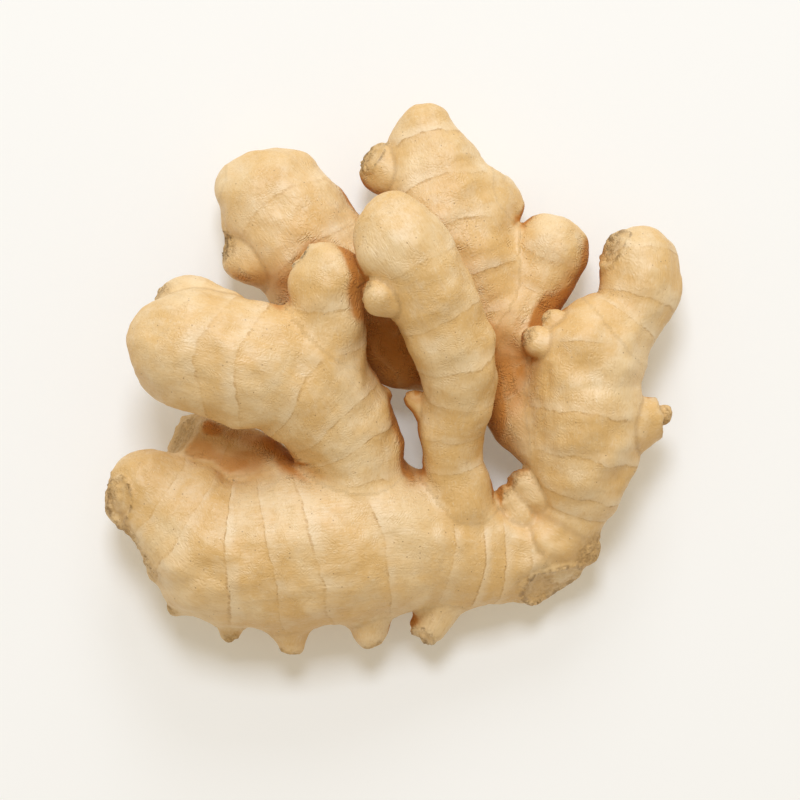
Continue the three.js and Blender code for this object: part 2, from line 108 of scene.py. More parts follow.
# %% Shoots
SHOOTS = {
    "stock": dict(
        flat=0.84,
        line=[
            (-64.0, -28.2, 20, 10.4), (-54.9, -36.3, 18.8, 14.6), (-44.8, -44.2, 18.0, 18.8),
            (-24.5, -43.7, 17.2, 20.9), (-12.8, -42.7, 16.7, 20.4), (1.6, -41.4, 15.3, 18.6),
            (19.9, -44.1, 12.3, 14.7), (36.2, -46.5, 10.6, 12.1),
        ],
        rings=[9, 19, 29, 40, 50, 63, 79, 89, 96, 102, 110], ledge=0.5,
        cut=((42.8, -54.2, 10), (0.55, -0.55, 0.63)),
        bow=0.05, lean=-0.12,
    ),
    "right_branch": dict(
        parent="stock", flat=0.9, melt=8,
        line=[
            (42.4, -42.3, 12.5, 10.0), (47.0, -32.7, 15, 9.4), (49.5, -21.5, 18, 13.0),
            (50.1, -8.4, 20.5, 14.8), (49.8, 6.1, 21.5, 13.5),
        ],
        rings=[5, 13, 20, 29, 38, 53], ledge=0.6, bow=0.12, lean=0.1,
    ),
    "right_knob": dict(
        parent="right_branch", flat=0.92, melt=7,
        line=[(53.5, 9.0, 21, 11.7), (61.4, 16.3, 20, 9.1), (64.0, 23.8, 19, 10.2), (64.1, 29.1, 18, 10.7)],
        rings=[9, 17, 25], ledge=0.5, bow=0.1,
    ),
    "middle_finger": dict(
        parent="stock", flat=0.9, melt=5,
        line=[
            (16.6, -31.4, 19, 9.4), (15.3, -20.1, 22.5, 8.0), (15.3, -11.3, 26, 8.8),
            (16.7, -0.7, 30.5, 9.8), (15.6, 7.0, 34, 10.5), (12.0, 15.6, 37, 10.7),
            (7.4, 24.5, 39.5, 11.7), (2.6, 32.9, 41, 12.2), (0.5, 36.2, 41, 10.7),
        ],
        rings=[10, 20, 31, 41, 54, 68], ledge=0.35, bow=0.06,
    ),
    "left_branch": dict(
        parent="stock", flat=0.88, melt=6,
        line=[
            (-9.6, -28.8, 18, 13.0), (-11.4, -16.0, 22, 13.6), (-19.5, -5.6, 27, 14.8),
            (-28.0, 1.2, 31, 15.7), (-39.5, 4.4, 33, 16.2), (-53.3, 7.8, 33, 14.9),
        ],
        rings=[8, 18, 28, 40, 53, 60], ledge=0.55, bow=0.3,
    ),
    "left_bump": dict(
        parent="left_branch", flat=0.95, melt=8,
        line=[(-17.9, 3.0, 28, 10.4), (-16.8, 15.7, 34, 9.6), (-16.6, 25.1, 36, 9.7)],
        rings=[9, 18], ledge=0.5, bow=0.1,
    ),
    "left_shoulder": dict(
        parent="left_branch", flat=0.9, melt=3.5,
        line=[(-44.3, 14.8, 28, 8.2), (-54.4, 20.4, 26, 6.9)],
        rings=[6], ledge=0.4,
    ),
    "low_stub": dict(
        parent="stock", flat=0.95, melt=5,
        line=[
            (-27.2, -31.5, 13, 10.5), (-39.1, -22.4, 11.5, 9.4),
            (-51.5, -17.1, 10.5, 8.6), (-60.0, -14.0, 10.5, 8.6),
        ],
        rings=[10, 20], ledge=0.4,
        cut=((-54.9, -14.2, 10.5), (-0.77, 0.52, 0.38)),
    ),
    "back_finger": dict(
        parent="right_branch", flat=0.86, melt=8,
        line=[
            (43.3, -15.8, 15, 11.5), (33.5, -6.6, 12.5, 11.0), (27.8, 7.8, 11.5, 11.5),
            (22.0, 23.5, 11.8, 13.6), (15.2, 39.7, 12.6, 15.2), (9.9, 54.9, 12.5, 12.3),
            (7.8, 63.3, 12.5, 8.6),
        ],
        rings=[16, 30, 42, 53, 64, 74, 84], ledge=0.7, bow=0.14,
    ),
    "finger_shoulder": dict(
        parent="back_finger", flat=0.9, melt=5,
        line=[(18.6, 40.5, 13, 10.5), (25.3, 46.4, 12, 8.1)],
        rings=[],
    ),
    "side_knob": dict(
        parent="back_finger", flat=0.95, melt=6,
        line=[(31.0, 12.0, 13, 10.5), (36.4, 22.5, 12.5, 8.6), (41.1, 33.9, 13, 9.4)],
        rings=[12, 21], ledge=0.4,
    ),
    "back_left": dict(
        parent="back_finger", flat=0.8, melt=9,
        line=[
            (22.5, 10.4, 12, 10.5), (6.8, 8.8, 12, 11.5), (-5.0, 14.3, 12, 13.1),
            (-16.8, 26.1, 12.4, 15.2), (-25.2, 37.9, 12.8, 16.0), (-31.4, 46.0, 13, 14.9),
        ],
        rings=[15, 30, 45, 57, 67], ledge=0.45, bow=0.1,
    ),
    "edge_swelling": dict(
        parent="back_left", flat=0.9, melt=1.6,
        line=[(-25.3, 29.8, 12.5, 9.8), (-36.6, 32.6, 14.5, 8.0)],
        rings=[],
    ),
    "tip_swelling": dict(
        parent="back_left", flat=0.9, melt=5,
        line=[(-32.5, 45.7, 13, 10.5), (-40.3, 49.1, 14, 6.5)],
        rings=[],
    ),
}
print("shoots:", len(SHOOTS))

# %% [markdown]
# ## Buds and stubs
# A bud is a short shoot that never grew, and a stub is where a root or a bud was broken off. Each has its
# root inside the shoot it sits on, its tip, the half-widths there, and the way it ends. They are grown by
# the same rule as the shoots, with a narrow melt, so that each rises out of the skin. A number after the
# half-widths is a melt of its own: narrow for a bud that sits in a crease, wide for a stub with a broad
# foot.

# %% Buds and stubs
BUD_MELT = 3.0
ROUND_REACH = 0.95
MIDDLE_SHARE = 0.45
BUDS = {
    "middle_knob": ("middle_finger", (4.6, 19.4, 39.5), (-7.0, 22.4, 47.4), (5.4, 4.7), 1.0),
    "middle_bud": ("middle_finger", (9.6, -7.6, 26), (3.4, -3.2, 26.5), (4.6, 3.2)),
    "gap_bud": ("right_branch", (38.6, -30.4, 16.5), (31.0, -25.2, 18.5), (4.9, 3.6), 1.8),
    "edge_bud": ("stock", (32.4, -35.2, 15.5), (28.6, -28.6, 18.5), (5.0, 3.2), 1.8),
    "inner_bud": ("right_branch", (41.4, 8.4, 24.5), (34.0, 11.2, 26.5), (5.4, 4.0), 1.4),
    "sheath_bud": ("right_branch", (46.2, 11.4, 23.5), (38.8, 17.4, 24.5), (5.8, 3.6), 1.4),
    "right_bud": ("right_branch", (59.0, -11.4, 19.5), (69.0, -9.9, 18.5), (9.0, 5.4), BUD_MELT, "cut"),
    "right_tip": ("right_branch", (66.0, -9.7, 18.8), (72.4, -9.3, 18.2), (3.8, 2.2)),
    "branch_nub": ("left_branch", (-5.0, -4.5, 24), (-0.9, -3.9, 23.5), (2.8, 1.7)),
    "left_nub": ("left_branch", (-46.6, -6.0, 24), (-46.0, -10.6, 23.5), (3.3, 1.7)),
    "finger_bud": ("back_finger", (5.4, 53.8, 12), (-8.0, 55.8, 12.5), (8.2, 7.0), 1.6),
    "left_rim": ("stock", (-63.0, -33.2, 18), (-75.0, -30.6, 17.5), (9.6, 7.6)),
    "corner_nub": ("stock", (-54.0, -56.0, 14.5), (-58.6, -60.8, 13.5), (5.2, 2.2), 5.0),
    "stub_one": ("stock", (-44.6, -57.0, 14.5), (-43.0, -68.4, 12), (4.8, 2.7), 6.0),
    "stub_two": ("stock", (-26.3, -57.0, 14.5), (-27.0, -71.8, 11.5), (8.0, 3.7), 8.0),
    "stub_three": ("stock", (-6.0, -56.0, 13.5), (-6.0, -69.8, 10.5), (6.9, 4.8), 7.0),
    "stub_four": ("stock", (14.5, -54.0, 12), (7.2, -68.6, 9.6), (6.6, 4.7), 6.0),
    "end_nub": ("right_branch", (43.0, -40.6, 13.5), (52.8, -45.6, 13.5), (9.2, 6.4)),
}


def bud_as_shoot(parent, root, tip, widths, melt=BUD_MELT, end="round"):
    """A short shoot that stops about a tip half-width before the tip, or goes on to a flat cut there."""
    root, tip = np.array(root, float), np.array(tip, float)
    length = np.linalg.norm(tip - root)
    way = (tip - root) / length
    reach = length if end == "cut" else length - ROUND_REACH * widths[1]
    stop = root + way * reach
    middle = 0.5 * (root + stop)
    middle_width = MIDDLE_SHARE * widths[0] + (1 - MIDDLE_SHARE) * widths[1]
    line = [(*root, widths[0]), (*middle, middle_width), (*stop, widths[1])]
    cut = (tuple(tip), tuple(way)) if end == "cut" else None
    return dict(parent=parent, flat=1.0, melt=melt, line=line, rings=[], cut=cut, bud=True)


SHOOTS.update({name: bud_as_shoot(*bud) for name, bud in BUDS.items()})
print("shoots with buds and stubs:", len(SHOOTS))

# %% [markdown]
# ## Lines through the points
# A curve that passes through its points is worked out from four of them at a time. Each span starts and
# ends with a direction taken from the points on both sides, and its ends are joined by a cubic.

# %% Smooth lines
STEPS_PER_SPAN = 6


def through_points(points, steps=STEPS_PER_SPAN):
    """A cubic per span. It ends at the points, in the directions of half the way between neighbours."""
    points = np.array(points, float)
    ends = np.vstack([2 * points[0] - points[1], points, 2 * points[-1] - points[-2]])
    way = 0.5 * (ends[2:] - ends[:-2])
    t = (np.arange(steps) / steps)[None, :, None]
    a, b = points[:-1, None], points[1:, None]
    m, n = way[:-1, None], way[1:, None]
    curve = a + m * t + (3 * (b - a) - 2 * m - n) * t**2 + (2 * (a - b) + m + n) * t**3
    return np.vstack([curve.reshape(-1, points.shape[1]), points[-1:]])


for shoot in SHOOTS.values():
    steps = through_points(shoot["line"]).astype(np.float32)
    shoot["at"], shoot["half"] = steps[:, :3], steps[:, 3]
    gaps = np.linalg.norm(np.diff(shoot["at"], axis=0), axis=1)
    shoot["along"] = np.concatenate([[0], np.cumsum(gaps)]).astype(np.float32)
    shoot["low"] = (shoot["at"] - shoot["half"][:, None]).min(0)
    shoot["high"] = (shoot["at"] + shoot["half"][:, None]).max(0)
print("longest shoot in mm:", round(float(max(s["along"][-1] for s in SHOOTS.values())), 1))

# %% [markdown]
# ## How far a point is from the skin
# A branching body is hard to make as one sheet, because every fork needs its own seam. It is easy as a rule
# that gives, for any point, its distance from the skin: each shoot has its own rule, and where a shoot
# grows out of another the two run together. The skin is then simply where the distance is nought.

# %% Distance to one shoot
SWELL = 0.8
PLAIN_LEDGE = 0.5
WIDE_SPACING = 14.0
CUT_EDGE = 1.2
BUD_CUT_EDGE = 0.7


def run_together(a, b, melt):
    """The smaller of two distances, less a cube-shaped fillet where they differ by under the melt."""
    near = np.maximum(melt - np.abs(a - b), 0) / melt
    return np.minimum(a, b) - near**3 * melt / 6


def swell_between(rings, along):
    """A parabola between each two rings: 0 on a ring, 1 half-way to the next, less where they are close."""
    if len(rings) < 2:
        return np.full_like(along, 0.5)
    rings = np.array(rings, np.float32)
    i = np.clip(np.searchsorted(rings, along), 1, len(rings) - 1)
    width = rings[i] - rings[i - 1]
    share = (along - rings[i - 1]) / width
    arch = (4 * share * (1 - share) - 0.5) * np.minimum(1, width / WIDE_SPACING)
    return np.where((along > rings[0]) & (along <= rings[-1]), 0.5 + arch, 0.5)


def shoot_distance(shoot, p):
    """Least, over the straight steps of the line, of the distance to the step less its half-width."""
    a, step = shoot["at"][:-1], np.diff(shoot["at"], axis=0)
    off = p[:, None, :] - a[None]
    t = np.clip(np.einsum("nsk,sk->ns", off, step) / np.einsum("sk,sk->s", step, step), 0, 1)
    off -= t[..., None] * step[None]
    off[..., 2] /= shoot["flat"]
    wide = shoot["half"][:-1] + t * np.diff(shoot["half"])
    gap = np.sqrt(np.einsum("nsk,nsk->ns", off, off)) - wide
    best = gap.argmin(1)
    rows = np.arange(len(p))
    along = shoot["along"][best] + t[rows, best] * np.diff(shoot["along"])[best]
    swell = SWELL * shoot.get("ledge", PLAIN_LEDGE)
    distance = gap[rows, best] - swell * (swell_between(shoot["rings"], along) - 0.5)
    if shoot.get("cut"):
        middle, facing = (np.array(v, np.float32) for v in shoot["cut"])
        edge = BUD_CUT_EDGE if shoot.get("bud") else CUT_EDGE
        distance = -run_together(-distance, -((p - middle) @ facing), edge)
    return distance, along


IN_THE_STOCK = np.float32([[-12, -43, 17]])
print("distance from the middle of the stock:", shoot_distance(SHOOTS["stock"], IN_THE_STOCK)[0])

# %% [markdown]
# ## How far a point is from the hand
# Most points are far from most shoots, so each shoot is asked only about the points in a box round it.
# Shoots that merely lie against each other keep a narrow crease. The slow waves at the end keep the skin
# from looking turned on a lathe.

# %% Distance to the hand
CREASE = 1.0
REACH = 11.0
UNEVEN = 0.45
BATCH = 12000


def unevenness(p):
    """Two products of sine waves, about 20 mm long, bent by slower ones. All in radians a millimetre."""
    x, y, z = p[:, 0], p[:, 1], p[:, 2]
    one = np.sin(0.33 * x + 1.6 * np.sin(0.17 * y)) * np.sin(0.29 * y + 1.3 * np.sin(0.21 * z))
    two = np.sin(0.19 * z - 0.27 * x + 2.1) * np.sin(0.23 * y + 0.31 * z)
    return UNEVEN * (one + two)


def shoots_near(p):
    """Each shoot's own distance and place along its line. Shoots further than REACH count as REACH away."""
    gaps = np.full((len(SHOOTS), len(p)), REACH, np.float32)
    places = np.zeros_like(gaps)
    for row, shoot in enumerate(SHOOTS.values()):
        close = ((p > shoot["low"] - REACH) & (p < shoot["high"] + REACH)).all(1)
        if close.any():
            distance, along = shoot_distance(shoot, p[close])
            gaps[row, close] = np.minimum(distance, REACH)
            places[row, close] = along
    return gaps, places


def hand_distance(points):
    """The creased least of all shoots, plus the deepest fillet with a parent, less the unevenness."""
    names = list(SHOOTS)
    result = np.empty(len(points), np.float32)
    for start in range(0, len(points), BATCH):
        p = points[start:start + BATCH]
        gaps, _ = shoots_near(p)
        near = gaps[0]
        for gap in gaps[1:]:
            near = run_together(near, gap, CREASE)
        fill = np.zeros_like(near)
        for name, shoot in SHOOTS.items():
            if "parent" in shoot:
                own, from_parent = gaps[names.index(name)], gaps[names.index(shoot["parent"])]
                nearer = np.minimum(own, from_parent)
                fillet = run_together(own, from_parent, shoot["melt"]) - nearer
                fill = np.minimum(fill, fillet * np.clip(1 - (nearer - near) / shoot["melt"], 0, 1))
        result[start:start + BATCH] = near + fill - unevenness(p)
    return result


OVER_THE_STOCK = IN_THE_STOCK + np.float32([0, 0, 27])
print("distance about 10 mm over the stock:", hand_distance(OVER_THE_STOCK))

# %% [markdown]
# ## A net over the skin
# The distance is measured on a grid of small cells. Only the cells near the skin are measured finely. Where
# the skin passes through a cell the net gets a point, and where it cuts an edge between cells it gets a
# four-sided face. A cell that holds two sheets of skin, between two shoots that nearly touch, gets two
# points, which keeps the net closed with every edge between exactly two faces.

# %% Grid of distances
COARSE = 3.44
FINER = 4
CELL = COARSE / FINER
GRID_LOW = np.array([-80, -76, -4], np.float32)
COARSE_COUNT = np.array([47, 45, 18])
NEAR_SKIN = 1.05 * math.sqrt(3) * COARSE


def grid_points(count, cell):
    """All points of a grid, with x slowest."""
    axes = [GRID_LOW[k] + cell * np.arange(count[k], dtype=np.float32) for k in range(3)]
    return np.stack(np.meshgrid(*axes, indexing="ij"), -1).reshape(-1, 3)


def measure_grid():
    """Distances on the fine grid. Far from the skin the distance of the coarse cell is kept."""
    coarse = hand_distance(grid_points(COARSE_COUNT, COARSE)).reshape(COARSE_COUNT)
    fine_count = (COARSE_COUNT - 1) * FINER + 1
    whole = [np.minimum(np.arange(n) // FINER, COARSE_COUNT[k] - 1) for k, n in enumerate(fine_count)]
    near = np.abs(coarse) < NEAR_SKIN
    fine = coarse[np.ix_(*whole)].copy()
    wanted = near[np.ix_(*whole)].reshape(-1)
    fine = fine.reshape(-1)
    fine[wanted] = hand_distance(grid_points(fine_count, CELL)[wanted])
    return fine.reshape(fine_count)


grid = measure_grid()
print("grid:", grid.shape, "cell in mm:", CELL, "inside:", int((grid < 0).sum()))

# %% Which sheet cuts which edge
CORNERS = np.array([[c & 1, c >> 1 & 1, c >> 2 & 1] for c in range(8)])
EDGES = []
for axis in range(3):
    for place in range(4):
        start = (place & 1) << (axis + 1) % 3 | (place >> 1) << (axis + 2) % 3
        EDGES.append((start, start | 1 << axis))
SIDES = [
    [e for e, ends in enumerate(EDGES) if all(CORNERS[c][axis] == place for c in ends)]
    for axis in range(3)
    for place in range(2)
]


def sheets_of(pattern):
    """For one pattern of inside corners: the number of the sheet that cuts each edge, or -1."""
    inside = [pattern >> c & 1 for c in range(8)]
    sheet = [e if inside[a] != inside[b] else -1 for e, (a, b) in enumerate(EDGES)]
    for side in SIDES:
        cut = [e for e in side if sheet[e] >= 0]
        for one in cut:
            for other in cut:
                share_inside = any(inside[c] and c in EDGES[other] for c in EDGES[one])
                if len(cut) == 2 or share_inside:
                    old, new = sheet[other], sheet[one]
                    sheet = [new if s == old else s for s in sheet]
    order = sorted(set(sheet) - {-1})
    return [order.index(s) if s >= 0 else -1 for s in sheet]


SHEETS = np.array([sheets_of(pattern) for pattern in range(256)])
print("patterns with two or more sheets:", int((SHEETS.max(1) > 0).sum()))

# %% Net
def net_over(grid):
    """A point at the middle of each sheet's cuts in a cell, and a four-sided face round each cut edge."""
    inside = grid < 0
    count = np.array(grid.shape)
    spans = [[slice(o, n - 1 + o) for o, n in zip(corner, count)] for corner in CORNERS]
    pattern = sum(inside[tuple(span)].astype(int) << c for c, span in enumerate(spans))
    cells = np.argwhere((pattern > 0) & (pattern < 255))
    kind = pattern[tuple(cells.T)]
    sheets_here = SHEETS[kind].max(1) + 1
    first = np.full(pattern.shape, -1)
    first[tuple(cells.T)] = np.cumsum(sheets_here) - sheets_here
    total = int(sheets_here.sum())
    sums, hits = np.zeros((total, 3)), np.zeros(total)
    for e, (a, b) in enumerate(EDGES):
        cut = SHEETS[kind, e] >= 0
        here = cells[cut]
        point = first[tuple(here.T)] + SHEETS[kind[cut], e]
        da, db = grid[tuple((here + CORNERS[a]).T)], grid[tuple((here + CORNERS[b]).T)]
        t = (da / (da - db))[:, None]
        place = here + CORNERS[a] + t * (CORNERS[b] - CORNERS[a])
        hits += np.bincount(point, minlength=total)
        for k in range(3):
            sums[:, k] += np.bincount(point, place[:, k], total)
    quads = []
    for axis in range(3):
        step = np.eye(3, dtype=int)[axis]
        ahead = inside[tuple(slice(s, None) for s in step)]
        here = inside[tuple(slice(None, n - s) for s, n in zip(step, count))]
        starts = np.argwhere(here != ahead)
        corners = []
        for place in (3, 2, 0, 1):
            back = np.zeros(3, int)
            back[(axis + 1) % 3], back[(axis + 2) % 3] = place & 1, place >> 1
            cell = tuple((starts - back).T)
            corners.append(first[cell] + SHEETS[pattern[cell], axis * 4 + place])
        quad = np.stack(corners, 1)
        outside = ~inside[tuple(starts.T)]
        quad[outside] = quad[outside][:, ::-1]
        quads.append(quad)
    return GRID_LOW + CELL * sums / hits[:, None], np.vstack(quads)


points, quads = net_over(grid)
print("net points:", len(points), "faces:", len(quads))

# %% [markdown]
# ## Settling the net
# The raw net shows the steps of the grid. Each point moves to the middle of its neighbours, and then along
# the slope of the distance back on to the skin, which evens out the faces without losing the shape.

# %% Settle
SETTLE_ROUNDS = 3
SLOPE_STEP = 0.08
LEAST_SLOPE_SQUARE = 0.2


def slope_at(points, here):
    """How the distance changes along x, y and z, from a small step each way."""
    ways = SLOPE_STEP * np.eye(3, dtype=np.float32)
    steps = [hand_distance(points + way) for way in ways]
    return (np.stack(steps, 1) - here[:, None]) / SLOPE_STEP


def onto_skin(points):
    """One step of Newton's rule: back along the slope by the distance over the slope's square."""
    points = points.astype(np.float32)
    here = hand_distance(points)
    slope = slope_at(points, here)
    step = here / np.maximum((slope**2).sum(1), LEAST_SLOPE_SQUARE)
    return points - np.clip(step, -CELL, CELL)[:, None] * slope


def middle_of_neighbours(points, quads):
    """The mean of the points at the other ends of each point's edges."""
    a = quads.ravel()
    b = np.roll(quads, -1, axis=1).ravel()
    ends, others = np.concatenate([a, b]), np.concatenate([b, a])
    hits = np.bincount(ends, minlength=len(points))
    sums = [np.bincount(ends, points[others, k], len(points)) for k in range(3)]
    return np.stack(sums, 1) / hits[:, None]


for _ in range(SETTLE_ROUNDS):
    points = onto_skin(middle_of_neighbours(points, quads))
points = onto_skin(points)
print("left over in mm:", float(np.abs(hand_distance(points.astype(np.float32))).max()))

# %% [markdown]
# ## Where each point lies on its shoot
# Rings, fibres and wrinkles follow the shoots, not the table. So each point of the skin is told which shoot
# it belongs to, how far along that shoot it lies, and how far to the side and above the middle line. Those
# three measures run on smoothly round the shoot, with no seam, so a pattern drawn in them has none either.
# Where the measures of one shoot end and those of the next begin, along a fork, the patterns fade out.

# %% Local measures
SOFT_STEP = 1.2


def places_on(shoot, p):
    """Along, side and height, as means over the steps of the line that favour the nearest step."""
    a, step = shoot["at"][:-1], np.diff(shoot["at"], axis=0)
    way = step / np.linalg.norm(step, axis=1, keepdims=True)
    side = np.cross(way, [0, 0, 1])
    side /= np.linalg.norm(side, axis=1, keepdims=True)
    above = np.cross(side, way)
    off = p[:, None, :] - a[None]
    t = np.einsum("nsk,sk->ns", off, step) / np.einsum("sk,sk->s", step, step)
    t[:, 1:] = np.maximum(t[:, 1:], 0)
    t[:, :-1] = np.minimum(t[:, :-1], 1)
    rest = off - t[..., None] * step[None]
    wide = shoot["half"][:-1] + np.clip(t, 0, 1) * np.diff(shoot["half"])
    gap = np.linalg.norm(rest / [1, 1, shoot["flat"]], axis=2) - wide
    weight = np.exp((gap.min(1, keepdims=True) - gap) / SOFT_STEP)
    weight /= weight.sum(1, keepdims=True)
    along = shoot["along"][:-1] + t * np.diff(shoot["along"])
    u = np.einsum("nsk,sk->ns", rest, side)
    v = np.einsum("nsk,sk->ns", rest, above)
    return np.stack([(weight * value).sum(1) for value in (along, u, v)], 1)


def measure_skin(points):
    """The nearest shoot of each point, the next one, its measures, and how much further the next one is."""
    starts = range(0, len(points), BATCH)
    gaps = np.concatenate([shoots_near(points[s:s + BATCH])[0] for s in starts], axis=1)
    owner, other = np.argsort(gaps, axis=0)[:2]
    columns = np.arange(len(points))
    nearest, second = gaps[owner, columns], gaps[other, columns]
    measures = np.zeros((len(points), 3))
    for row, shoot in enumerate(SHOOTS.values()):
        mine = owner == row
        if mine.any():
            measures[mine] = places_on(shoot, points[mine])
    return owner, other, measures, second - nearest


points = points.astype(np.float32)
owner, other, places, apart = measure_skin(points)
print("points on the stock:", int((owner == list(SHOOTS).index("stock")).sum()))

# %% [markdown]
# ## Uneven values from a lattice
# Grown skin is uneven at every size. Each corner of a lattice gets a value from its own whole numbers,
# always the same one, and the values between are blended smoothly. Sums of such layers, each finer and
# lower than the one before, make lumps, and stretched along a shoot they make wrinkles.

# %% Lattice values
SPREAD = np.array([374761393, 668265263, 2147483647])
STIR = 1274126177
LOW_32_BITS = 0xFFFFFFFF
LAYER_SHIFT = 17.3


def lattice_values(p, seed):
    """A value from -1 to 1 for each point, from its eight lattice corners by a smooth blend."""
    low = np.floor(p).astype(np.int64)
    f = p - low
    f = f**3 * (f * (f * 6 - 15) + 10)
    total = np.zeros(len(p))
    for corner in CORNERS:
        h = ((low + corner) @ SPREAD + seed * STIR) & LOW_32_BITS
        h = ((h ^ (h >> 13)) * STIR) & LOW_32_BITS
        value = ((h ^ (h >> 16)) & 0xFFFF) / 32767.5 - 1
        total += value * np.where(corner, f, 1 - f).prod(1)
    return total


def layered(p, size, seed, layers=2):
    """Layers of lattice values, each twice as fine and half as high as the one before."""
    return sum(lattice_values(p / size * 2**k + LAYER_SHIFT * k, seed + k) / 2**k for k in range(layers))


def step_up(value, low, high):
    """0 below low, 1 above high, and an even slope with rounded ends between."""
    t = np.clip((value - low) / (high - low), 0, 1)
    return t * t * (3 - 2 * t)


print("lattice values at three points:", np.round(layered(points[:3], 7.0, seed=1), 2))

# %% Ring phase
OUTER_SPACING = 20.0
WANDER, WANDER_SIZE = 1.0, 13.0
JITTER, JITTER_SIZE = 0.28, 2.4
LONG_GRAIN = [1, 1, 3]
OWN_FROM, OWN_TO = 0.4, 2.6
RINGS_APART = 40


def ring_phase(shoot, place):
    """Whole numbers on the rings, even steps between them, and the millimetres of one whole step there."""
    along, u = place[:, 0], place[:, 1]
    half = float(np.median(shoot["half"]))
    s = along + shoot.get("bow", 0.0) * u**2 / half + shoot.get("lean", 0.0) * u
    rings = np.array(shoot["rings"], float)
    if len(rings) == 0:
        return np.full(len(s), 0.5), np.full(len(s), OUTER_SPACING)
    knots = np.concatenate([[rings[0] - OUTER_SPACING / 2], rings, [rings[-1] + OUTER_SPACING / 2]])
    marks = np.concatenate([[0.5], 1 + np.arange(len(rings)), [len(rings) + 0.5]])
    i = np.clip(np.searchsorted(knots, s) - 1, 0, len(knots) - 2)
    spacing = (np.diff(knots) / np.diff(marks))[i]
    return np.interp(s, knots, marks), spacing


phase = np.zeros(len(points))
spacing = np.ones(len(points))
for row, shoot in enumerate(SHOOTS.values()):
    mine = owner == row
    phase[mine], spacing[mine] = ring_phase(shoot, places[mine])
grain = places[:, [1, 2, 0]]
phase += WANDER * layered(grain / LONG_GRAIN, WANDER_SIZE, seed=61) / spacing
phase += JITTER * layered(points, JITTER_SIZE, seed=67) / spacing
to_ring = (phase - np.round(phase)) * spacing
own = step_up(apart, OWN_FROM, OWN_TO)
ring_number = np.round(phase) + RINGS_APART * owner
print("points within 1 mm of a ring:", int((np.abs(to_ring) < 1).sum()))

# %% [markdown]
# ## Relief
# On the real root each ring is the torn edge of a dry sheath: the skin steps up on the tip side and sinks
# back to the next ring. Between the rings it is lumpy, and drying has drawn it into low wrinkles along the
# shoot. All of this moves the points of the net along its own normals, so it shows at the outline and in
# the shadows.

# %% Normals of the net
def normals_of(points, quads):
    """For each point, the sum of the cross products of the diagonals of its faces, made one unit long."""
    one, two, three, four = (points[quads[:, k]] for k in range(4))
    cross = np.repeat(np.cross(three - one, four - two), 4, axis=0)
    sums = np.stack([np.bincount(quads.ravel(), cross[:, k], len(points)) for k in range(3)], 1)
    return sums / np.linalg.norm(sums, axis=1, keepdims=True)


normals = normals_of(points, quads)
print("mean height of a normal:", round(float(normals[:, 2].mean()), 3))

# %% Hollows
PROBE_DEPTHS = (2.5, 6.0)
ASIDE_PROBES = 5
ASIDE_REACH, ASIDE_ROOM = 13.0, 9.0
ASIDE_OUT, ASIDE_ALONG = 0.6, 0.8
UNLIKE_NORMALS = [0.31, 0.17, 0.94]


def hollowness(points, normals):
    """How much less room there is over a point than over a flat skin, 0 in the open and 1 deep in a gap."""
    room = [hand_distance((points + depth * normals).astype(np.float32)) / depth for depth in PROBE_DEPTHS]
    return [np.clip(1 - share, 0, 1) for share in room]


def enclosure(points, normals):
    """The share of probes, leaning out from the skin all round, that come close to another shoot."""
    side = np.cross(normals, UNLIKE_NORMALS)
    side /= np.linalg.norm(side, axis=1, keepdims=True)
    ahead = np.cross(normals, side)
    total = np.zeros(len(points))
    for turn in 2 * math.pi * np.arange(ASIDE_PROBES) / ASIDE_PROBES:
        way = ASIDE_OUT * normals + ASIDE_ALONG * (math.cos(turn) * side + math.sin(turn) * ahead)
        room = hand_distance((points + ASIDE_REACH * way).astype(np.float32))
        total += np.clip(1 - room / ASIDE_ROOM, 0, 1)
    return total / ASIDE_PROBES


# These measures mark the hollows and the forks. The skin colour paints shade into them later, and the
# wrinkles gather there.
near_hollow, wide_hollow = hollowness(points, normals)
enclosed = enclosure(points, normals)
print("share of the skin in hollows:", round(float((wide_hollow > 0.5).mean()), 3))

# %% Relief heights
RING_STEP, RING_LIP = 0.26, 0.07
RING_LEAST, RING_PACE = 0.35, 1.37
TEAR_SIZE, TORN, WHOLE = 5.0, -0.5, 0.35
EDGE_HALF, SINK_POWER = 0.45, 1.6
LIP_PLACE, LIP_HALF = 0.3, 0.7
LUMP, LUMP_SIZE = 0.42, 8.0
BUMP, BUMP_SIZE = 0.17, 3.2
WRINKLE, WRINKLE_SIZE, WRINKLE_LENGTH = 0.07, 1.5, 7.0

ring_place = np.stack([RING_PACE * ring_number] * 3, 1)
ring_strength = RING_LEAST + (1 - RING_LEAST) * np.abs(lattice_values(ring_place, seed=5))
broken = step_up(layered(grain / LONG_GRAIN, TEAR_SIZE, seed=11, layers=3), TORN, WHOLE)
ring_edge = step_up(to_ring, -EDGE_HALF, EDGE_HALF)
ledge = ring_edge * np.where(to_ring < 0, 1, (1 - np.mod(phase, 1)) ** SINK_POWER)
lip = np.exp(-((to_ring - LIP_PLACE) / LIP_HALF) ** 2)
ledge_share = np.array([shoot.get("ledge", 0.0) for shoot in SHOOTS.values()])[owner]
relief = own * ledge_share * ring_strength * (RING_STEP * ledge + RING_LIP * lip * broken)
relief += LUMP * layered(points, LUMP_SIZE, seed=1)
relief += BUMP * layered(points, BUMP_SIZE, seed=9)
relief += WRINKLE * own * lattice_values(grain / [WRINKLE_SIZE, WRINKLE_SIZE, WRINKLE_LENGTH], seed=21)
print("relief from", round(float(relief.min()), 2), "to", round(float(relief.max()), 2), "mm")

# %% Cut ends
CUT_ROUGH, CUT_ROUGH_SIZE = 0.28, 1.9
CUT_BEHIND, CUT_FROM = -1.3, -0.35


def cut_share(shoot, p):
    """1 on the flat of a cut end, and 0 from a little over a millimetre behind it."""
    middle, facing = (np.array(v, float) for v in shoot["cut"])
    return step_up((p - middle) @ facing, CUT_BEHIND, CUT_FROM)


